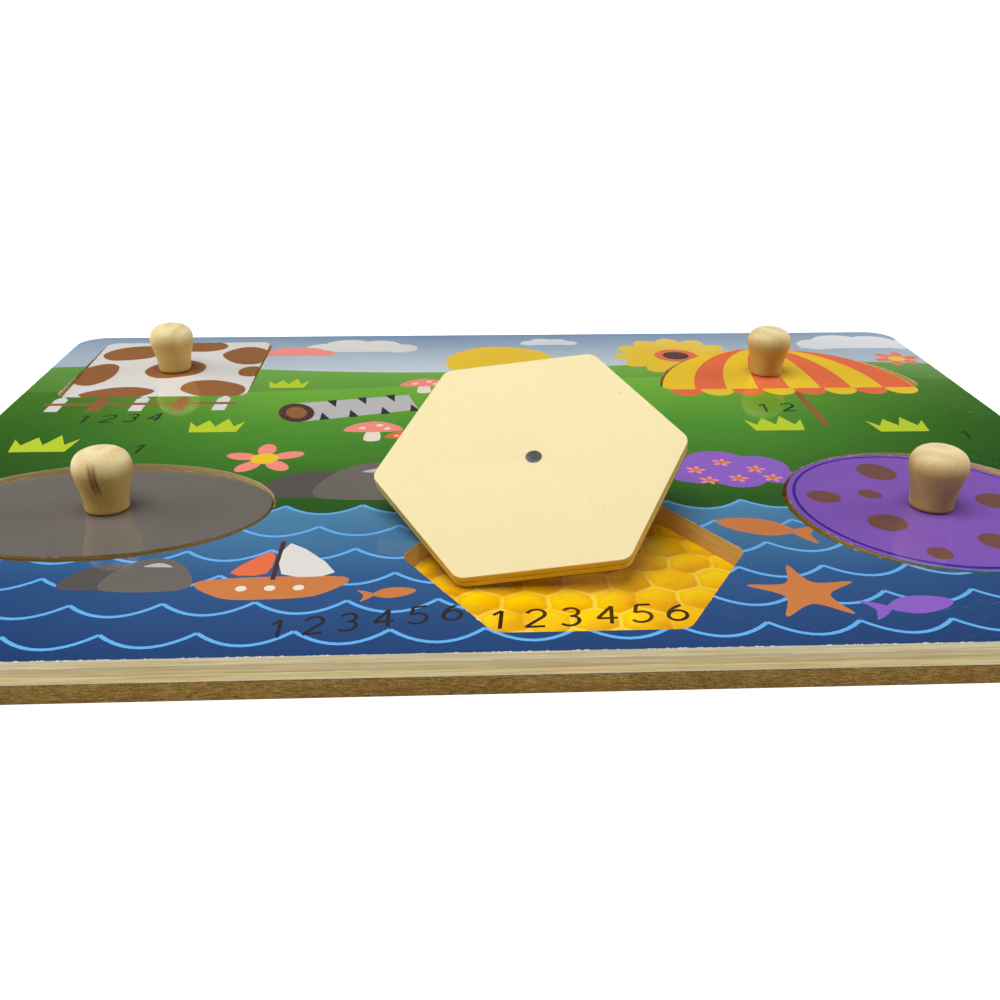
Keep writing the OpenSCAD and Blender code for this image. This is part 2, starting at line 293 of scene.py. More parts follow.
def sawn_edge(name, heights, layers, light, dark, glue, line):
    """A sawn plywood edge: layers between two heights, and glue lines of that share between them."""
    low_z, high_z = heights

    def build(shader):
        z = shader.place()[2]
        wander = (shader.grained(90, 90, 300) - 0.5) * 0.22
        level = (z - low_z * MM) / ((high_z - low_z) * MM) * layers + wander
        inside = (level + layers) % 1.0
        fibres = shader.grained(60, 60, 4200, 4, 0.65)
        broad = shader.grained(25, 25, 900)
        colour = shader.mixed((fibres * 0.75 + broad * 0.25).step(0.36, 0.64), dark, light)
        # Painted shade: the lower layers are multiplied a little darker and warmer
        colour = shader.mixed((level / layers).step(0.6, 0.2), colour, (255, 248, 226), "MULTIPLY")
        if layers == 3:
            across = level.step(0.94, 1.06) * level.step(2.06, 1.94)
            colour = shader.mixed(across, colour, (238, 231, 222), "MULTIPLY")
        near_seam = abs(inside - 0.5).step(0.5 - line, 0.5)
        seam = near_seam * level.step(0.4, 0.6) * level.step(layers - 0.4, layers - 0.6)
        seam = seam * shader.grained(160, 160, 60).step(0.3, 0.55)
        return {
            "Base Color": shader.mixed(seam, colour, glue),
            "Roughness": fibres * 0.2 + 0.55,
            "Specular IOR Level": 0.3,
            "Normal": shader.relief(fibres - seam * 0.5, 0.0001),
        }

    return finish_named(name, build)


def fibreboard(shader):
    """Brown pressed fibres with a rough sawn edge."""
    fibres = shader.grained(520, 520, 3200, 3, 0.7)
    specks = shader.grained(2600, 2600, 5200, 3, 0.7)
    tone = fibres * 0.45 + specks * 0.45 + shader.noise(140) * 0.1
    stops = [(0.34, (84, 58, 14)), (0.5, (154, 120, 58)), (0.66, (212, 176, 104))]
    return {
        "Base Color": tone.ramp(stops),
        "Roughness": 0.85,
        "Specular IOR Level": 0.2,
        "Normal": shader.relief(tone, 0.0003),
    }


def turned(name, flank_shade=(236, 214, 160), shade_top=14.5, crack=None):
    """A turned hardwood knob: long fibres up its side, rings on its dome, and its flank multiplied darker
    below a height in millimetres, as painted shade. crack is the side, in degrees, of a split."""

    def build(shader):
        x, y, z = shader.place()
        rings = shader.node(
            "TexWave",
            {"wave_type": "RINGS", "rings_direction": "Z"},
            {
                "Vector": shader.stretched(1.0, 0.5, 0.05),
                "Scale": 80.0,
                "Distortion": 4.0,
                "Detail": 2.0,
                "Detail Scale": 1.2,
            },
        )
        fibres = shader.grained(1600, 1600, 120, 4, 0.65)
        stops = [(0.15, (219, 192, 134)), (0.55, (233, 212, 160)), (0.9, (242, 227, 183))]
        colour = (rings * 0.35 + fibres * 0.65).ramp(stops)
        # Painted shade: the knob's flank is multiplied darker below a height, down towards its foot
        flank_shade_share = z.step(shade_top * MM, (shade_top - 6) * MM)
        colour = shader.mixed(flank_shade_share, colour, flank_shade, "MULTIPLY")
        pore = shader.grained(2800, 2800, 170).step(0.38, 0.28)
        colour = shader.mixed(pore * 0.25, colour, (164, 128, 74))
        if crack is not None:
            drift = shader.noise(60) - 0.5
            side = radians(crack)
            off = y * cos(side) - x * sin(side) + (z - 0.0105) * 0.12 + drift * 0.0014
            near = (x * cos(side) + y * sin(side)).step(0.0, 0.002)
            tall = z.step(0.0045, 0.0085) * z.step(0.0148, 0.011)
            stain = abs(off).step(0.0017, 0.0002) * near * tall
            split = abs(abs(off) - 0.0006).step(0.0004, 0.0) * near * tall
            colour = shader.mixed(stain * 0.7, colour, (146, 100, 44))
            colour = shader.mixed(split * 0.65, colour, (92, 54, 18))
        return {
            "Base Color": colour,
            "Specular IOR Level": 0.35,
            "Roughness": fibres * 0.15 + 0.4,
            "Normal": shader.relief(fibres, 0.00006),
        }

    return finish_named(name, build)


def nail_steel(shader):
    """Drawn steel with faint handling marks."""
    marks = shader.noise(900, 4)
    return {
        "Base Color": shader.mixed(marks.step(0.35, 0.7), (150, 156, 162), (184, 189, 195)),
        "Metallic": marks * 0.1 + 0.85,
        "Roughness": marks * 0.2 + 0.55,
        "Normal": shader.relief(marks, 0.00001),
    }


def paper(name, dark, light, shine, depth):
    """The torn edge of a printed sheet."""

    def build(shader):
        fuzz = shader.noise(2200, 4)
        return {
            "Base Color": shader.mixed(fuzz.step(0.3, 0.7), dark, light),
            "Roughness": 0.9,
            "Specular IOR Level": shine,
            "Normal": shader.relief(fuzz, depth),
        }

    return finish_named(name, build)


PAPER = paper("paper_core", (230, 224, 208), (252, 249, 242), 0.5, 0.00008)
# The rim of a piece's sheet, painted dark brown as shade
SHADED_PAPER = paper("paper_rim_painted_shade", (96, 76, 40), (136, 112, 66), 0.1, 0.00006)
STEEL = finish_named("nail_steel", nail_steel)
FIBRE = finish_named("fibreboard", fibreboard)
# Every knob's flank is darkened towards its foot as painted shade; on the circle's and semicircle's knobs it
# is darker and reaches higher
KNOB = turned("turned_wood")
DEEP_SHADED_KNOB = turned("wood_deeper_painted_shade", (216, 194, 150), 16.0)
SPLIT_KNOB = turned("split_wood", crack=-93)
KNOB_WOOD = {"oval": SPLIT_KNOB, "circle": DEEP_SHADED_KNOB, "semicircle": DEEP_SHADED_KNOB}
BACK = finish_named("bare_ply", bare_ply)
BOARD_PLY, PIECE_PLY = (FLOOR_Z, TOP_Z - SHEET_T), (0.0, PANEL_T)
TOP_EDGE = sawn_edge("top_ply_edge", BOARD_PLY, 3, (255, 246, 206), (228, 205, 150), (192, 167, 113), 0.07)
# The pockets' walls: the board's ply edge painted darker and warmer, as shade
SHADED_POCKET_WALL = sawn_edge("pocket_wall_painted_shade", BOARD_PLY, 2, (232, 202, 132), (214, 182, 108), (196, 160, 90), 0.04)
PIECE_EDGE = sawn_edge("piece_ply_edge", PIECE_PLY, 2, (238, 212, 122), (212, 182, 88), (96, 70, 16), 0.1)
# A darker copy of the piece's ply edge, for pieces whose rims sit in their pocket's shadow: painted shade
SHADED_PIECE_EDGE = sawn_edge("piece_ply_edge_painted_shade", PIECE_PLY, 2, (186, 152, 60), (150, 118, 36), (84, 60, 14), 0.1)

WATER = [(0.0, (32, 63, 112)), (0.45, (46, 86, 136)), (1.0, (80, 136, 172))]
MEADOW = [(0.0, (38, 86, 22)), (0.5, (76, 143, 40)), (1.0, (126, 190, 58))]
HILL = [(0.0, (66, 126, 46)), (1.0, (126, 188, 70))]
SKY = [(0.0, (208, 216, 222)), (0.5, (170, 187, 203)), (1.0, (92, 128, 164))]
# The last colour of each blended ink is multiplied in at the board's sides as painted shade
INK_COLOURS = {
    "water": blended(-111, -42, WATER, (168, 196, 222)),
    "meadow": blended(-42, 70, MEADOW, (154, 176, 104)),
    "hill": blended(20, 90, HILL, (204, 217, 184)),
    "sky": blended(62, 111, SKY, (230, 234, 238)),
    "honeycomb": honeycomb_ink,
    "wave": (100, 174, 240),
    "white": (221, 218, 213),
    "cloud": (214, 216, 222),
    "yellow": (238, 196, 40),
    "lime": (186, 208, 40),
    "orange": (202, 122, 66),
    "coral": (232, 108, 66),
    "pink": (246, 138, 126),
    "brown": (146, 94, 52),
    "bark": (76, 46, 40),
    "stone": (106, 100, 94),
    "slate": (84, 80, 78),
    "ash": (186, 184, 184),
    "coal": (44, 42, 44),
    "purple": (126, 84, 178),
    "violet": (138, 94, 194),
    "indigo": (62, 32, 148),
    "spot": (112, 74, 66),
    "cream": (232, 224, 204),
    "shallows": (72, 120, 168),
    "sand": (214, 180, 140),
    "amber": (232, 160, 40),
    "gravel": (146, 140, 134),
    "letter": (56, 34, 12),
    "leaf_letter": (26, 48, 22),
    "sea_letter": (42, 38, 40),
}
INKS = {name: laminated("ink_" + name, colour) for name, colour in INK_COLOURS.items()}
INKS["torn"] = PAPER


# Outlines, in millimetres


def arc(x, y, radius, first, last, steps=24):
    angles = [radians(first + (last - first) * i / steps) for i in range(steps + 1)]
    return [(x + radius * cos(a), y + radius * sin(a)) for a in angles]


def disc(x, y, a, b=None, turn=0.0, steps=40):
    """A circle, or an ellipse with half-widths a and b turned by an angle."""
    b = b or a
    spin = radians(turn)
    points = []
    for i in range(steps):
        t = tau * i / steps
        u, v = a * cos(t), b * sin(t)
        across = x + u * cos(spin) - v * sin(spin)
        points.append((across, y + u * sin(spin) + v * cos(spin)))
    return points


def slab(low_x, low_y, high_x, high_y):
    return [(low_x, low_y), (high_x, low_y), (high_x, high_y), (low_x, high_y)]


def smooth(corners, steps=8):
    """A closed curve through its corners."""
    points, count = [], len(corners)
    for i in range(count):
        p0, p1, p2, p3 = (Vector(corners[(i + k - 1) % count]) for k in range(4))
        for j in range(steps):
            t = j / steps
            point = p1 * 2 + (p2 - p0) * t + (p0 * 2 - p1 * 5 + p2 * 4 - p3) * t**2
            point = (point + (p1 * 3 - p0 - p2 * 3 + p3) * t**3) / 2
            points.append(tuple(point))
    return points


def moved(points, x, y, turn=0.0, size=1.0):
    c, s = cos(radians(turn)) * size, sin(radians(turn)) * size
    return [(x + px * c - py * s, y + px * s + py * c) for px, py in points]


def stroke(line, width):
    """A band of even width along an open line."""
    left, right = [], []
    for i, point in enumerate(line):
        before, after = Vector(line[max(i - 1, 0)]), Vector(line[min(i + 1, len(line) - 1)])
        ahead = (after - before).normalized()
        side = Vector((-ahead.y, ahead.x)) * width / 2
        left.append(tuple(Vector(point) + side))
        right.append(tuple(Vector(point) - side))
    return right + left[::-1]


def sides_of(ring):
    return zip(ring, ring[1:] + ring[:1])


def area(ring):
    return sum(a[0] * b[1] - b[0] * a[1] for a, b in sides_of(ring)) / 2


def wound(ring):
    """An outline, laid counter-clockwise."""
    return ring if area(ring) > 0 else ring[::-1]


def extent(points):
    """The lowest and the highest x and y of an outline."""
    xs, ys = zip(*points)
    return min(xs), min(ys), max(xs), max(ys)


def middle_of(points):
    low_x, low_y, high_x, high_y = extent(points)
    return Vector(((low_x + high_x) / 2, (low_y + high_y) / 2))


def outlines_of(node, seat):
    """The rims of a CAD node's upper face, in millimetres in the seat's own frame, the outer one first."""
    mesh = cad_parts[node].data
    to_seat = seat.inverted()
    places, up_faces = {}, []
    up = seat.to_3x3() @ Vector((0, 0, 1))
    local = [to_seat @ v.co / MM for v in mesh.vertices]
    top = max(p.z for p in local)
    for polygon in mesh.polygons:
        if polygon.normal.dot(up) > 0.99 and all(local[i].z > top - 0.02 for i in polygon.vertices):
            face = [(round(local[i].x, 2), round(local[i].y, 2)) for i in polygon.vertices]
            for corner, i in zip(face, polygon.vertices):
                places.setdefault(corner, (local[i].x, local[i].y))
            up_faces.append(face)
    ways = dict.fromkeys(way for face in up_faces for way in sides_of(face))
    after = {a: b for a, b in ways if (b, a) not in ways and a != b}
    rims = []
    while after:
        current, rim = next(iter(after)), []
        while current in after:
            rim.append(places[current])
            current = after.pop(current)
        rims.append(rim)
    rims.sort(key=lambda rim: -abs(area(rim)))
    return [wound(rim) for rim in rims]


# Printed sheets


class Print:
    """A printed sheet: inks laid over each other inside an outer outline, with holes left out."""

    def __init__(self, ground, outer, holes=()):
        self.shapes = [outer] + list(holes)
        self.holes = len(holes)
        self.inks = [ground] * (1 + len(holes))

    def lay(self, *motifs):
        """Lays motifs, each of (ink, outline) pairs, over what is there."""
        for motif in motifs:
            for ink, shape in motif:
                self.shapes.append(shape)
                self.inks.append(ink)

    def build(self, name, seat, bottom, top, rim_finish=PAPER):
        """The sheet as a thin closed piece: every ink region is cut out along its outline."""
        points, faces = [], []
        for shape in self.shapes:
            faces.append(list(range(len(points), len(points) + len(shape))))
            points += [Vector(p) for p in wound(shape)]
        places, _, cut, _, _, owners = delaunay_2d_cdt(points, [], faces, 1, 1e-4)
        kept = []
        for face, over in zip(cut, owners):
            if 0 in over and not any(1 <= i <= self.holes for i in over):
                kept.append((face, self.inks[max(over)]))
        used = sorted({i for face, _ in kept for i in face})
        index = {old: new for new, old in enumerate(used)}
        count = len(used)
        vertices = [(places[i].x * MM, places[i].y * MM, z * MM) for z in (top, bottom) for i in used]
        inks = sorted({ink for _, ink in kept})
        polygons, slots, rim = [], [], {}
        for face, ink in kept:
            ring = [index[i] for i in face]
            if area([tuple(places[i]) for i in face]) < 0:
                ring.reverse()
            polygons += [ring, [i + count for i in reversed(ring)]]
            slots += [inks.index(ink), len(inks)]
            rim.update(dict.fromkeys(sides_of(ring)))
        for a, b in rim:
            if (b, a) not in rim:
                polygons.append([b, a, a + count, b + count])
                slots.append(len(inks))
        mesh = bpy.data.meshes.new(name)
        mesh.from_pydata(vertices, [], polygons)
        for finish in [INKS[ink] for ink in inks] + [rim_finish]:
            mesh.materials.append(finish)
        mesh.polygons.foreach_set("material_index", slots)
        mesh.update()
        return placed(name, mesh, seat)


def placed(name, mesh, seat):
    piece = bpy.data.objects.new(name, mesh)
    bpy.context.scene.collection.objects.link(piece)
    piece.matrix_world = seat
    return piece


def shaped(name, vertices, faces, finish, seat):
    """A piece from its corners and faces, shaded smooth."""
    mesh = bpy.data.meshes.new(name)
    mesh.from_pydata(vertices, [], faces)
    mesh.polygons.foreach_set("use_smooth", [True] * len(faces))
    mesh.materials.append(finish)
    mesh.update()
    return placed(name, mesh, seat)


def dress(piece, node, body):
    """The piece stands for a CAD node and moves with its body."""
    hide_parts(node)
    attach(piece, body)


def chips(rim, count, deep, seed, longest=1.6):
    """Places where the film has flaked along a rim and the white paper shows."""
    draw = random.Random(seed)
    steps = [(Vector(b) - Vector(a)).length for a, b in sides_of(rim)]
    total = sum(steps)
    for _ in range(count):
        along, i = draw.uniform(0, total), 0
        while along > steps[i]:
            along -= steps[i]
            i += 1
        a, b = Vector(rim[i]), Vector(rim[(i + 1) % len(rim)])
        ahead = (b - a).normalized()
        inward = Vector((-ahead.y, ahead.x))
        middle = a + ahead * along
        half, depth = draw.uniform(0.15, longest), draw.uniform(0.06, deep)
        ring = []
        for k in range(7):
            t = k / 6
            torn = inward * depth * draw.uniform(0.4, 1.0) * sin(t * pi)
            ring.append(tuple(middle + ahead * half * (2 * t - 1) + torn))
        yield "torn", ring + [tuple(middle - inward * 0.3)]


# Motifs: each gives (ink, outline) pairs

# Where the pictures' own outlines end, outside the board
FAR_X, FAR_Y = 170, 130
# The water's scallops: their width and depth, the left end of the first, and the shore
SCALLOP_W, SCALLOP_H, SCALLOPS_FROM, SHORE_Y = 18.7, 5.0, -168.3, -42.5
SCALLOPS, WAVE_ROWS, WAVE_GAP, WAVE_LINE = 19, 6, 11.9, 0.95


def sag(t):
    """How far a scallop hangs at a share of its width."""
    return SCALLOP_H * (1 - (2 * t - 1) ** 2)


def wave_rows():
    """Rows of scallops from the shore to the front edge, every other row half a scallop along."""
    for row in range(WAVE_ROWS):
        start = SCALLOPS_FROM + SCALLOP_W / 2 * (row % 2)
        for i in range(SCALLOPS):
            shares = [k / 10 for k in range(11)]
            line = [(start + (i + t) * SCALLOP_W, SHORE_Y - row * WAVE_GAP - sag(t)) for t in shares]
            yield "wave", stroke(line, WAVE_LINE)


def water():
    """The water, with a scalloped upper rim."""
    rim = [(SCALLOPS_FROM + k / 10 * SCALLOP_W, SHORE_Y - sag(k / 10 % 1)) for k in range(180)]
    yield "water", [(-FAR_X, -FAR_Y), (FAR_X, -FAR_Y)] + rim[::-1]


def hills(ink, y, height, phase, waves):
    rim = [(-FAR_X + 10 * k, y + height * sin(waves * (k / 34) * tau + phase)) for k in range(35)]
    yield ink, [(-FAR_X, -60), (FAR_X, -60)] + rim[::-1]


def cloud(x, y, size, ink="cloud"):
    for dx, dy, r in ((-9, -1, 5), (-3, 1.5, 6.5), (5, 1, 6), (11, -1.5, 4.5)):
        yield ink, disc(x + dx * size, y + dy * size, r * size, r * size * 0.85)
    yield ink, smooth([(x - 14 * size, y - 4 * size), (x + 15 * size, y - 4 * size), (x, y)])


def flower(x, y, size, petals, petal, heart, turn=0.0):
    for i in range(petals):
        a = turn + 360 * i / petals
        c, s = cos(radians(a)), sin(radians(a))
        yield petal, disc(x + c * size * 0.62, y + s * size * 0.62, size * 0.42, size * 0.24, a, 20)
    yield heart, disc(x, y, size * 0.36, steps=24)


def tuft(x, y, width):
    """Four pointed blades of grass."""
    height, blades = width * 0.68, 4
    points = [(x - width * 0.42, y), (x + width * 0.42, y)]
    for i in range(blades):
        a = x + width / 2 - width * i / (blades - 1)
        points.append((a, y + height * (0.8 + 0.25 * ((i * 5) % 3) / 2)))
        if i < blades - 1:
            points.append((a - width / (blades - 1) / 2, y + height * 0.42))
    yield "lime", points


def boat(x, y):
    """A hull with a mast, two sails and three round windows."""
    hull = smooth([(-15, 2.6), (15, 3.4), (10.5, -4.4), (0, -6), (-10, -5)], 6)
    yield "orange", moved(hull, x, y)
    yield "bark", moved(slab(-0.5, 2.5, 0.6, 21), x, y)
    yield "white", moved(smooth([(1.6, 5), (13, 5.5), (1.8, 20)], 3), x, y)
    yield "coral", moved(smooth([(-1.6, 5.5), (-9.5, 6), (-1.8, 16)], 3), x, y)
    for i in range(3):
        yield "cream", disc(x + i * 6 - 6, y - 1.2, 1.2, steps=16)


def starfish(x, y, size, turn):
    corners = []
    for i in range(10):
        r, a = (size if i % 2 == 0 else size * 0.42), radians(turn + 36 * i)
        corners.append((x + r * cos(a), y + r * sin(a)))
    yield "orange", smooth(corners, 6)


def fish(x, y, size, ink, turn=0.0):
    side = smooth([(-9, 0), (-3, 4.2), (5, 3.4), (9.5, 0), (5, -3.4), (-3, -4.2)], 6)
    tail = smooth([(-8, 0), (-14.5, 5), (-12.5, 0), (-14.5, -5)], 5)
    yield ink, moved(side, x, y, turn, size)
    yield ink, moved(tail, x, y, turn, size)


def stones(x, y, size):
    yield "slate", moved(smooth([(-15, -5), (-13, 4), (-5, 8), (4, 4), (6, -5)], 8), x, y, 0, size)
    yield "stone", moved(smooth([(-4, -6), (-2, 6), (6, 12), (15, 7), (18, -6)], 8), x, y, 0, size)
    yield "ash", moved(smooth([(4, 7), (8, 9), (12, 6.5), (8, 6.5)], 5), x, y, 0, size)


def log(x, y, length, thick, turn):
    """A birch log: a pale trunk with dark bands and a brown cut end."""
    half = thick / 2
    trunk = [(0, -half), (length, -half * 0.85), (length, half * 0.85), (0, half)]
    yield "ash", moved(trunk, x, y, turn)
    for i, share in enumerate((0.16, 0.29, 0.4, 0.55, 0.67, 0.8, 0.92)):
        band = [(share * length, -half), (share * length + 1.7, -half * 0.2), (share * length + 3.1, -half)]
        if i % 2:
            band = [(px, -py) for px, py in band]
        yield "coal", moved(band, x, y, turn)
    yield "bark", moved(disc(0, 0, half * 0.62, half), x, y, turn)
    yield "brown", moved(disc(0, 0, half * 0.36, half * 0.62), x, y, turn)


def toadstool(x, y, size, cap):
    yield "cream", moved(smooth([(-2, 0), (2, 0), (1.4, 7), (-1.4, 7)], 4), x, y, 0, size)
    yield cap, moved(smooth([(-7, 6.5), (7, 6.5), (5.5, 11.5), (0, 14), (-5.5, 11.5)], 6), x, y, 0, size)
    for dx, dy in ((-3, 9), (1.5, 11), (3.6, 8.4)):
        yield "cream", disc(x + dx * size, y + dy * size, 0.95 * size, steps=14)


def bush(x, y, size):
    for dx, dy, r in ((-9, 0, 6.5), (-2, 4.5, 8), (7, 2, 7), (1, -2.5, 7), (-8, -3, 4), (10, -3, 4.5)):
        yield "violet", disc(x + dx * size, y + dy * size, r * size)


def balloons(x, y):
    """A row of eight, in two colours."""
    for i in range(8):
        yield ("yellow" if i % 2 else "coral"), disc(x + i * 10, y, 5.2, 5.8, steps=24)


def fence(x, y, width):
    for i in range(5):
        a = x + width * i / 4
        post = [(a - 2, y), (a + 2, y), (a + 2, y + 11), (a, y + 14), (a - 2, y + 11)]
        yield ("brown" if i % 2 else "white"), post
    yield "brown", slab(x - 4, y + 5.5, x + width + 4, y + 7.7)


DIGITS = {
    "1": [[(0.1, 0.78), (0.34, 1.0), (0.34, 0.0)]],
    "2": [arc(0.3, 0.72, 0.27, 165, -38, 14) + [(0.03, 0.03), (0.6, 0.03)]],
    "3": [arc(0.27, 0.75, 0.24, 150, -90, 14), arc(0.27, 0.27, 0.27, 90, -150, 14)],
    "4": [[(0.44, 0.0), (0.44, 1.0), (0.02, 0.32), (0.62, 0.32)]],
    "5": [[(0.56, 1.0), (0.14, 1.0), (0.09, 0.54)] + arc(0.27, 0.31, 0.3, 125, -150, 16)],
    "6": [
        arc(0.62, 0.3, 0.6, 108, 180, 10) + arc(0.3, 0.3, 0.28, 190, 360, 14),
        arc(0.3, 0.3, 0.28, 0, 180, 14),
    ],
}
DIGIT_PITCH, DIGIT_LEAN, DIGIT_LINE = 1.05, 0.16, 0.12


def strokes(line, width):
    """Even bands along an open line, one for each part between its sharp corners."""
    part = [line[0]]
    for before, here, after in zip(line, line[1:], line[2:] + line[-1:]):
        part.append(here)
        bend = (Vector(here) - Vector(before)).angle(Vector(after) - Vector(here), 0)
        if bend > radians(40):
            yield stroke(part, width)
            part = [here]
    yield stroke(part, width)


def number(figures, x, y, height, ink, turn=0.0):
    """A row of plain figures, slightly slanted."""
    for i, figure in enumerate(figures):
        for line in DIGITS[figure]:
            slanted = [(px + i * DIGIT_PITCH + DIGIT_LEAN * py, py) for px, py in line]
            for band in strokes(moved(slanted, x, y, turn, height), height * DIGIT_LINE):
                yield ink, band


# The board's print

BUSH_FLOWERS = [(49, -23), (57, -18), (65, -23), (59, -29), (68, -29), (51, -30)]
TUFTS = [(-129, -4, 18), (-84, 10, 16), (80, 6, 17), (116, 4, 17), (26, 52, 13), (-68, 50, 13)]
board_rim, *pocket_rims = outlines_of("top_sheet", LEVEL)
board_print = Print("meadow", board_rim, pocket_rims)
# From the sky at the back to the water in front, then what stands in them
board_print.lay(
    [("sky", slab(-FAR_X, 40, FAR_X, FAR_Y))],
    cloud(-48, 96, 1.35, "white"),
    cloud(-70, 90, 0.9, "pink"),
    cloud(132, 96, 1.5),
    cloud(20, 100, 0.7),
    [("yellow", disc(2, 76, 19))],
    hills("hill", 70, 5, 0.6, 1.5),
    flower(64, 82, 21, 12, "yellow", "coral"),
    [("bark", disc(64, 82, 4.6))],
    flower(141, 76, 8, 6, "coral", "yellow", 12),
    hills("meadow", 52, 6, 3.4, 1.0),
    water(),
    wave_rows(),
    fence(-136, 29, 50),
    log(-62, 26, 36, 17, 14),
    toadstool(-24, 44, 1.0, "pink"),
    toadstool(-38, 2, 1.1, "pink"),
    toadstool(-29, -1, 0.7, "coral"),
    stones(-44, -30, 1.25),
    flower(-66, -11, 10.5, 5, "pink", "yellow", 20),
    bush(58, -24, 1.15),
    *(flower(x, y, 2.6, 5, "pink", "orange") for x, y in BUSH_FLOWERS),
    *(tuft(x, y, width) for x, y, width in TUFTS),
    [("brown", slab(93.8, 10, 96, 46))],
    balloons(60, 43.6),
    boat(-54, -83),
    stones(-86, -79, 0.8),
    fish(56, -58, 1.0, "orange", 160),
    starfish(58, -90, 12, 20),
    fish(-28, -87, 0.5, "orange", 10),
    fish(80, -96, 0.8, "violet", 10),
    number("123456", -52, -104.6, 6.6, "sea_letter", 9),
    number("1234", -126, 18.5, 6.5, "leaf_letter", 4),
    number("12", 78, 22, 7, "leaf_letter", 3),
    number("1", -104, -6, 6.5, "leaf_letter"),
    number("1", 130, -3, 6.5, "leaf_letter"),
    chips(board_rim, 800, BOARD_CHIP, 4, 0.7),
)
for rim in pocket_rims:
    board_print.lay(chips(rim[::-1], 9, POCKET_CHIP, 9))
board_piece = board_print.build("board_print", LEVEL, TOP_Z - SHEET_T, TOP_Z)
dress(board_piece, "top_sheet", "board")


# The pocket floors' print


def rows(x, y, across, up, step_x, step_y):
    """Places in staggered rows about a middle."""
    for j in range(-up, up + 1):
        for i in range(-across, across + 1):
            yield x + (i + 0.5 * (j % 2)) * step_x, y + j * step_y


def checks(x, y):
    for i in range(-4, 5):
        yield "sand", slab(x + i * 9 - 2.2, y - 40, x + i * 9 + 2.2, y + 40)
        yield "sand", slab(x - 40, y + i * 9 - 2.2, x + 40, y + i * 9 + 2.2)


def rays(x, y):
    for i in range(12):
        a = radians(30 * i)
        ends = [(x + 60 * cos(a + s), y - 18 + 60 * sin(a + s)) for s in (-0.1, 0.1)]
        yield "amber", [(x, y - 18)] + ends


def flakes(x, y):
    for px, py in rows(x, y, 4, 5, 13, 9):
        yield "cloud", disc(px, py, 1.6, steps=12)


def pebbles(x, y):
    for k, (px, py) in enumerate(rows(x, y, 4, 4, 12, 8)):
        yield ("slate", "stone", "gravel")[k % 3], disc(px, py, 4.4 - k % 2, 2.9, 37 * k, 18)


def dots(x, y):
    for px, py in rows(x, y, 4, 5, 11, 9):
        yield "cream", disc(px, py, 2.1, steps=16)


FLOORS = {
    "square": ("cream", checks),
    "semicircle": ("yellow", rays),
    "triangle": ("sky", flakes),
    "oval": ("ash", pebbles),
    "circle": ("pink", dots),
}


def pocket_named(shape):
    """The pocket's rim whose middle is nearest to the piece's own box."""
    low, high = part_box(shape + "_panel")
    centre = ((low + high) / 2 / MM).to_2d()
    return min(pocket_rims, key=lambda rim: (middle_of(rim) - centre).length)


def clipped(shape, rim):
    """The part of an outline that lies inside a rim without hollows, both laid counter-clockwise."""
    for a, b in sides_of(rim):
        sides = [(b[0] - a[0]) * (p[1] - a[1]) - (b[1] - a[1]) * (p[0] - a[0]) for p in shape]
        kept = []
        for p, q, sp, sq in zip(shape, shape[1:] + shape[:1], sides, sides[1:] + sides[:1]):
            if sp >= 0:
                kept.append(p)
            if sp * sq < 0:
                t = sp / (sp - sq)
                kept.append((p[0] + (q[0] - p[0]) * t, p[1] + (q[1] - p[1]) * t))
        shape = kept
        if len(shape) < 3:
            return []
    return shape


floor_print = Print("torn", outlines_of("floor_sheet", LEVEL)[0])
for shape, (ground, pattern) in FLOORS.items():
    rim = pocket_named(shape)
    floor_print.lay([(ground, rim)])
    x, y = middle_of(rim)
    for ink, figure in pattern(x, y):
        inside = clipped(wound(figure), rim)
        if inside:
            floor_print.lay([(ink, inside)])
    floor_print.lay(number(str(PIECES.index(shape) + 1), x - 5, y - 8, 16, "letter"))
floor_print.lay([("honeycomb", pocket_named("hexagon"))])
floor_print.lay(number("123456", -8.6, -94.2, 7.2, "letter", 3))
floor_piece = floor_print.build("floor_print", LEVEL, FLOOR_Z - SHEET_T, FLOOR_Z)
dress(floor_piece, "floor_sheet", "board")


# The two boards

FLAT, CREASE, SHARP = (radians(a) for a in (0.5, 32, 50))
# How far in from the board's outer edge a face already belongs to a pocket, in millimetres
EDGE_STRIP = 3


def softened(name, node, seat, body, finishes, choose=None, ease=0.0):
    """A copy of a CAD node with its rims eased, in millimetres, and a finish chosen face by face."""
    build = bmesh.new()
    build.from_mesh(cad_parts[node].data)
    build.transform(seat.inverted())
    bmesh.ops.remove_doubles(build, verts=build.verts, dist=1e-6)
    bmesh.ops.dissolve_limit(build, angle_limit=FLAT, verts=build.verts, edges=build.edges)
    if ease:
        sharp = [e for e in build.edges if len(e.link_faces) == 2 and e.calc_face_angle() > SHARP]
        bmesh.ops.bevel(
            build, geom=sharp, offset=ease * MM, segments=3, profile=0.6, affect="EDGES", clamp_overlap=True
        )
    for face in build.faces:
        face.material_index = choose(face) if choose else 0
        face.smooth = True
    for edge in build.edges:
        edge.smooth = len(edge.link_faces) == 2 and edge.calc_face_angle() < CREASE
    mesh = bpy.data.meshes.new(name)
    build.to_mesh(mesh)
    build.free()
    for finish in finishes:
        mesh.materials.append(finish)
    dress(placed(name, mesh, seat), node, body)


def in_pocket(face):
    """1 for a pocket's wall, 0 for the board's outer edge."""
    x, y, _ = face.calc_center_median()
    return 1 if min(cad_high.x - abs(x), cad_high.y - abs(y)) > EDGE_STRIP * MM else 0


softened("base_layer", "base_board", LEVEL, "board", [FIBRE], ease=BASE_EASE)
# The pocket walls take the shaded copy of the ply edge
softened("top_layer", "top_board", LEVEL, "board", [TOP_EDGE, SHADED_POCKET_WALL], in_pocket)


# The lift-out pieces


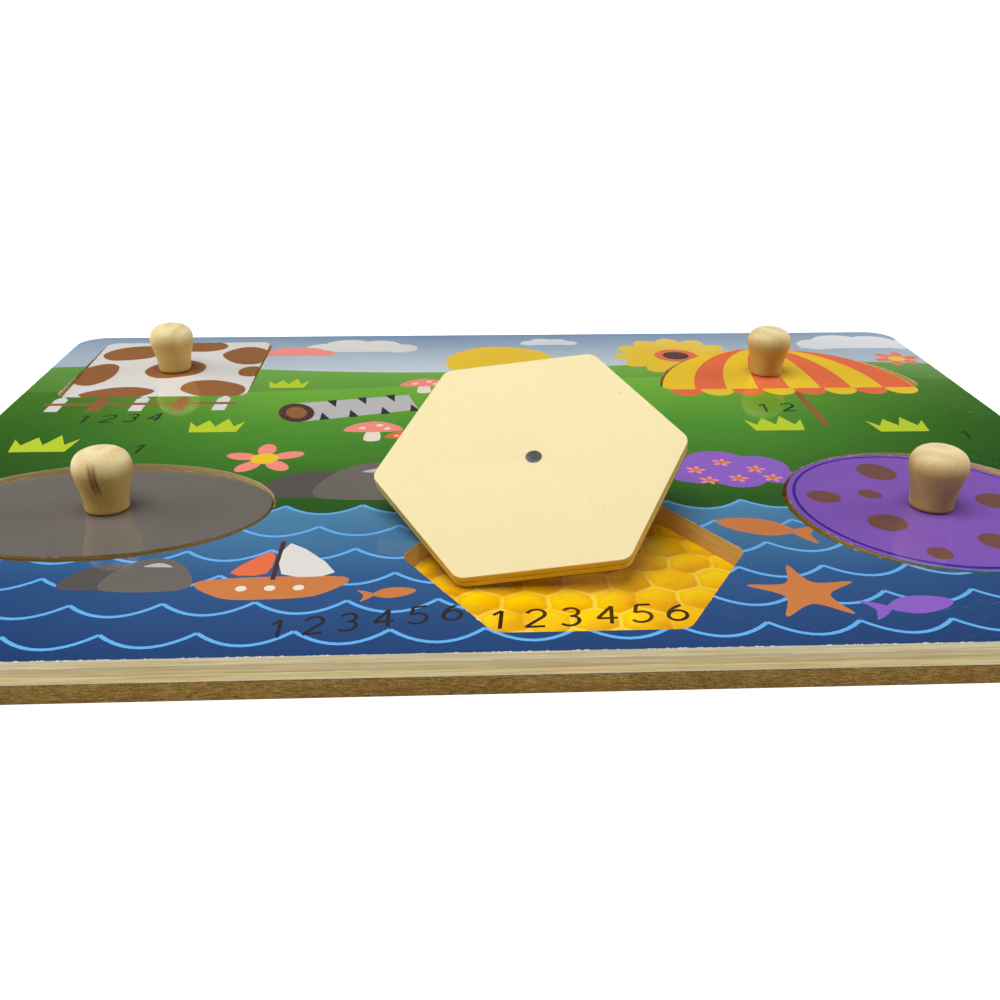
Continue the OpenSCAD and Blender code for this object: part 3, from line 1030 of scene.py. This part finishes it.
def seat_of(shape):
    """Where a piece lies: its nail's axis is Z, and the panel's plain back is at 0."""
    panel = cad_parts[shape + "_panel"].data
    nail = np.array([v.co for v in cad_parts[shape + "_nail"].data.vertices])
    knob = np.array([v.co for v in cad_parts[shape + "_knob"].data.vertices])
    towards_knob = Vector(knob.mean(0) - nail.mean(0)).normalized()
    faces = [p.normal * p.area for p in panel.polygons if p.normal.dot(towards_knob) > 0.9]
    up = sum(faces, Vector()).normalized()
    flat_ways = nail - np.outer(nail @ np.array(up), np.array(up))
    axis_point = Vector((flat_ways.max(0) + flat_ways.min(0)) / 2)
    start = Euler((pi, 0.0, 0.0)).to_matrix() if shape == "hexagon" else Matrix.Identity(3)
    turn = (start @ Vector((0, 0, 1))).rotation_difference(up).to_matrix() @ start
    back = min(v.co.dot(up) for v in panel.vertices)
    return Matrix.Translation(axis_point + up * back) @ turn.to_4x4()


def lathe(name, profile, finish, seat, steps=72):
    """A turned solid from its side view: (radius, height) in millimetres, counter-clockwise from the axis."""
    vertices, faces, rings = [], [], []
    for radius, height in profile:
        if radius < 1e-6:
            rings.append([len(vertices)])
            vertices.append((0, 0, height * MM))
        else:
            rings.append(list(range(len(vertices), len(vertices) + steps)))
            for k in range(steps):
                a = tau * k / steps
                vertices.append((radius * MM * cos(a), radius * MM * sin(a), height * MM))
    for low, high in zip(rings, rings[1:]):
        for k in range(steps):
            following = (k + 1) % steps
            if len(low) == 1:
                faces.append([low[0], high[following], high[k]])
            elif len(high) == 1:
                faces.append([low[k], low[following], high[0]])
            else:
                faces.append([low[k], low[following], high[following], high[k]])
    return shaped(name, vertices, faces, finish, seat)


def bezier(p0, p1, p2, p3, steps):
    points = []
    for i in range(1, steps + 1):
        t, s = i / steps, 1 - i / steps
        shares = (s**3, 3 * s * s * t, 3 * s * t * t, t**3)
        points.append(tuple(sum(w * p[k] for w, p in zip(shares, (p0, p1, p2, p3))) for k in range(2)))
    return points


# How straight the knob's side view leaves its foot, meets and leaves its bulb, and meets its top
FOOT_PULL, BULB_PULL, CROWN_PULL, TOP_PULL = 0.43, 0.19, 0.62, 0.74


def knob_profile(play):
    taper, dome = BULB_Z - FOOT_ROUND, KNOB_H - BULB_Z
    bore_r, bore_l = NAIL_R + NAIL_FIT, NAIL_L - PIECE_T - 2 * play + NAIL_END_GAP
    bore = [(0.0, bore_l), (bore_r, bore_l), (bore_r, 0.0)]
    foot = arc(FOOT_R - FOOT_ROUND, FOOT_ROUND, FOOT_ROUND, -90, 0, 8)
    neck, bulb = (FOOT_R, FOOT_ROUND), (BULB_R, BULB_Z)
    above_neck, below_bulb = (FOOT_R, FOOT_ROUND + FOOT_PULL * taper), (BULB_R, BULB_Z - BULB_PULL * taper)
    above_bulb, beside_top = (BULB_R, BULB_Z + CROWN_PULL * dome), (TOP_PULL * BULB_R, KNOB_H)
    side = bezier(neck, above_neck, below_bulb, bulb, 30)
    crown = bezier(bulb, above_bulb, beside_top, (0.0, KNOB_H), 24)
    return bore + foot + side + crown


def nail_profile():
    dome_r = (HEAD_R**2 + HEAD_H**2) / (2 * HEAD_H)
    sweep = degrees(asin(HEAD_R / dome_r))
    dome = arc(0.0, dome_r - HEAD_H, dome_r, -90, -90 + sweep, 12)
    return [(0.0, -HEAD_H)] + dome[1:] + [(NAIL_R, 0.0), (NAIL_R, NAIL_L - NAIL_POINT_L), (0.0, NAIL_L)]


# Each piece's picture: motifs on its sheet, from the rim


def spotted(rim):
    """Brown spots; place, half-widths and turn, the lengths as shares of the sheet's."""
    low_x, low_y, high_x, high_y = extent(rim)
    cx, cy = middle_of(rim)
    width, depth = high_x - low_x, high_y - low_y
    lumps = [(1, 0.1), (0.55, 0.85), (-0.3, 0.95), (-1, 0.3), (-0.7, -0.7), (0.25, -1), (0.85, -0.6)]
    spots = (
        (-0.3, 0.3, 0.17, 0.13, 20), (0.08, 0.42, 0.15, 0.1, 0), (0.4, 0.24, 0.12, 0.17, 10),
        (0.02, 0.0, 0.17, 0.15, 30), (-0.42, -0.08, 0.1, 0.19, -8), (-0.22, -0.4, 0.16, 0.1, 12),
        (0.3, -0.34, 0.19, 0.13, -25), (0.46, -0.05, 0.06, 0.09, 0),
    )
    for i, (u, v, a, b, turn) in enumerate(spots):
        blob = []
        for j, (p, q) in enumerate(lumps):
            blob.append((p * a * width * (1 + 0.12 * ((i + j) % 3)), q * b * depth))
        yield "brown", moved(smooth(blob), cx + u * width, cy + v * depth, turn)


def parasol(rim):
    """Four coral panels between ribs that meet at the top."""
    low_x, low, high_x, high = extent(rim)
    cx, half = middle_of(rim).x, (high_x - low_x) / 2

    def rib(share):
        angles = [radians(t) for t in range(0, 91, 5)]
        return [(cx + half * share * cos(a), low - 2 + (high - low + 2.6) * sin(a)) for a in angles]

    for i in range(4):
        outer = 1 - i * 0.5
        yield "coral", rib(outer) + rib(outer - 0.25)[::-1][1:]


def mountain(rim):
    """Slate bands, and snow on the peak."""
    _, low, _, peak = extent(rim)
    cx = middle_of(rim).x
    under = [(-60, -2), (-14, 3), (14, -1), (60, 3)]
    over = [(60, 6), (14, 2.5), (-14, 6), (-60, 2)]
    for i in range(4):
        y = low + 6 + i * 11
        yield "slate", smooth([(cx + px, y + py) for px, py in under + over])
    snow = [(-40, 30), (-22, -24), (-9, -17), (-2, -24), (6, -16), (22, -24), (40, 30)]
    yield "white", [(cx + px, peak + py) for px, py in snow]


def ringed(rim):
    """A dark ring near the rim, a sliver of blue in front, and spots: angle, share of the radius, size."""
    low_x, _, high_x, _ = extent(rim)
    cx, cy = middle_of(rim)
    r = (high_x - low_x) / 2
    yield "indigo", disc(cx, cy, r - 1.3, steps=96)
    yield "purple", disc(cx - 0.1, cy + 0.2, r - 2.3, steps=96)
    yield "shallows", arc(cx, cy, r + 1, 228, 300, 20) + arc(cx - 0.6, cy + 1.6, r + 0.6, 300, 228, 20)
    spots = (
        (12, 0.55, 5.2), (62, 0.5, 3.3), (104, 0.66, 5.6), (150, 0.42, 3.0), (168, 0.74, 4.2),
        (214, 0.5, 5.0), (252, 0.78, 3.2), (292, 0.6, 4.4), (338, 0.8, 3.4),
    )
    for a, share, size in spots:
        x = cx + r * share * cos(radians(a))
        y = cy + r * share * sin(radians(a))
        yield "spot", disc(x, y, size, size * 0.9, a)


def plain(rim):
    return ()


PIECE_PRINTS = {
    "square": ("white", spotted),
    "semicircle": ("yellow", parasol),
    "triangle": ("ash", mountain),
    "oval": ("stone", plain),
    "circle": ("purple", ringed),
    "hexagon": ("honeycomb", plain),
}
# The pieces whose ply edge is painted darker, as shade
SHADED_RIM_PIECES = ("oval", "circle")
# How far each knob is turned from the one before, so that their grain differs, in radians
KNOB_TURN = 1.1


def piece_print(shape, seat):
    """The sheet on a piece, in its pocket's own colours."""
    rim, *nail_holes = outlines_of(shape + "_sheet", seat)
    ground, picture = PIECE_PRINTS[shape]
    sheet = Print(ground, rim, nail_holes)
    sheet.lay(picture(rim), chips(rim, 14, PIECE_CHIP, 3))
    return sheet.build(shape + "_print", seat, PANEL_T, PIECE_T, SHADED_PAPER)


def upright(face):
    """1 for a panel's edge, 0 for its face and back."""
    return 0 if abs(face.normal.z) > 0.7 else 1


for index, shape in enumerate(PIECES):
    seat = seat_of(shape)
    body = shape + "_piece"
    flat_body, grip_body = ("circle_disc", "circle_grip") if shape == "circle" else (body, body)
    play = TURN_PLAY if shape == "circle" else 0.0
    ply = [BACK, SHADED_PIECE_EDGE if shape in SHADED_RIM_PIECES else PIECE_EDGE]
    softened(shape + "_board", shape + "_panel", seat, flat_body, ply, upright, PANEL_EASE)
    dress(piece_print(shape, seat), shape + "_sheet", flat_body)
    grain = Matrix.Rotation((index - 3) * KNOB_TURN, 4, "Z")
    knob_seat = seat @ Matrix.Translation((0, 0, (PIECE_T + play) * MM)) @ grain
    knob = lathe(shape + "_turned_knob", knob_profile(play), KNOB_WOOD.get(shape, KNOB), knob_seat)
    dress(knob, shape + "_knob", grip_body)
    nail_seat = seat @ Matrix.Translation((0, 0, -play * MM))
    nail = lathe(shape + "_nail_head", nail_profile(), STEEL, nail_seat, 48)
    dress(nail, shape + "_nail", grip_body)


# Floor, backdrop, light and camera

# In metres: the floor, the round wall, and where its white fades into the dim room
FLOOR_HALF, FLOOR_DROP, WALL_R, WALL_H, WALL_STEPS = 12.5, 0.00005, 12.0, 4.0, 96
WALL_WHITE_TO, WALL_DIM_FROM = 2.9, 3.5
# The floor's shadow shows up to one distance from the object, and is gone at the other
SHADOW_TO, SHADOW_GONE_FROM = 0.4, 1.0
ROOM_LEVEL, FLOOR_GLOW = 0.07, 0.82
WHITE = (1.0, 1.0, 1.0, 1.0)
MATT_WHITE = (0.8, 0.8, 0.8, 1.0)


def seen_share(shader):
    """1 for the rays that show the background: straight from the camera, mirrored or through glass."""
    ways = shader.node("LightPath").socket.node.outputs
    camera_ray, glossy_ray, glass_ray = (
        Wire(shader.tree, ways[kind]) for kind in ("Is Camera Ray", "Is Glossy Ray", "Is Transmission Ray")
    )
    return shader.maths("MINIMUM", camera_ray + glossy_ray + glass_ray, 1.0)


def floor_white(shader):
    """Matt white with a glow for the background's rays: it keeps the shadow, and is plain white far off."""
    x, y, _ = shader.place()
    lit = shader.node("BsdfDiffuse", inputs={"Color": MATT_WHITE})
    glow = shader.node("Emission", inputs={"Color": WHITE, "Strength": FLOOR_GLOW})
    near = shader.node("AddShader", inputs={0: lit, 1: glow})
    plain_white = shader.node("Emission", inputs={"Color": WHITE, "Strength": 1.0})
    far_share = shader.maths("SQRT", x * x + y * y).step(SHADOW_TO, SHADOW_GONE_FROM)
    seen = shader.node("MixShader", inputs={0: far_share, 1: near, 2: plain_white})
    return shader.node("MixShader", inputs={0: seen_share(shader), 1: lit, 2: seen})


def wall_white(shader):
    """A low round backdrop, white for the background's rays, that fades into the dim room above it."""
    z = shader.place()[2]
    lit = shader.node("BsdfDiffuse", inputs={"Color": MATT_WHITE})
    plain_white = shader.node("Emission", inputs={"Color": WHITE, "Strength": 1.0})
    clear = shader.node("BsdfTransparent")
    low = shader.node("MixShader", inputs={0: seen_share(shader), 1: lit, 2: plain_white})
    return shader.node("MixShader", inputs={0: z.step(WALL_DIM_FROM, WALL_WHITE_TO), 1: clear, 2: low})


def staged(name, vertices, faces, build):
    white = material_named(name + "_white", build)
    shaped(name, vertices, faces, white, Matrix.Translation((0, 0, -FLOOR_DROP)))


corners = [(x, y, 0.0) for x, y in slab(-FLOOR_HALF, -FLOOR_HALF, FLOOR_HALF, FLOOR_HALF)]
staged("floor", corners, [(0, 1, 2, 3)], floor_white)
round_wall = [(x, y, z) for z in (0.0, WALL_H) for x, y in disc(0.0, 0.0, WALL_R, steps=WALL_STEPS)]
ways = [(k, (k + 1) % WALL_STEPS) for k in range(WALL_STEPS)]
panes = [(a, b, b + WALL_STEPS, a + WALL_STEPS) for a, b in ways]
staged("backdrop", round_wall, panes, wall_white)

world = bpy.data.worlds.new("room")
bpy.context.scene.world = world
world.use_nodes = True
world.node_tree.nodes.clear()
room = Wire(world.node_tree)
dim = room.node("Background", inputs={"Color": WHITE, "Strength": ROOM_LEVEL})
room.node("OutputWorld", inputs={"Surface": dim})


def lamp(name, place, size, power):
    """A soft round lamp, in metres and watts, aimed at the board. The prints' film doesn't mirror it, so
    that no glare hides them in any view."""
    data = bpy.data.lights.new(name, "AREA")
    data.shape = "DISK"
    data.size = size
    data.energy = power
    light = bpy.data.objects.new(name, data)
    bpy.context.scene.collection.objects.link(light)
    light.location = place
    light.rotation_euler = (-Vector(place)).to_track_quat("-Z", "Y").to_euler()
    light.visible_glossy = False


lamp("overhead", (-0.19, -0.25, 1.18), 1.05, 14.5)
lamp("left_side", (-0.75, 0.1, 0.3), 0.5, 2.8)
lamp("right_side", (0.75, 0.1, 0.3), 0.5, 2.4)

# The camera, fitted to the board's edges, the pockets' rims and the leaning piece
CAMERA_PLACE = (-15.53, -287.97, 120.18)
PITCH_DOWN, YAW, ROLL = 24.066, 2.743, -0.291
FOCAL_PIXELS, IMAGE_PIXELS, SENSOR = 1093.85, 1000, 36.0

camera_data = bpy.data.cameras.new("camera")
camera_data.sensor_width = SENSOR
camera_data.lens = FOCAL_PIXELS / IMAGE_PIXELS * SENSOR
camera_data.clip_start, camera_data.clip_end = 0.01, 20.0
camera = bpy.data.objects.new("camera", camera_data)
bpy.context.scene.collection.objects.link(camera)
camera.location = [c * MM for c in CAMERA_PLACE]
pitch, yaw, roll = (radians(a) for a in (PITCH_DOWN, YAW, ROLL))
forward = Vector((sin(yaw) * cos(pitch), cos(yaw) * cos(pitch), -sin(pitch)))
level_right = Vector((cos(yaw), -sin(yaw), 0))
level_down = forward.cross(level_right)
right = level_right * cos(roll) + level_down * sin(roll)
down = level_down * cos(roll) - level_right * sin(roll)
camera.rotation_euler = Matrix((right, -down, -forward)).transposed().to_euler()
bpy.context.scene.camera = camera
bpy.context.scene.view_settings.view_transform = "Standard"
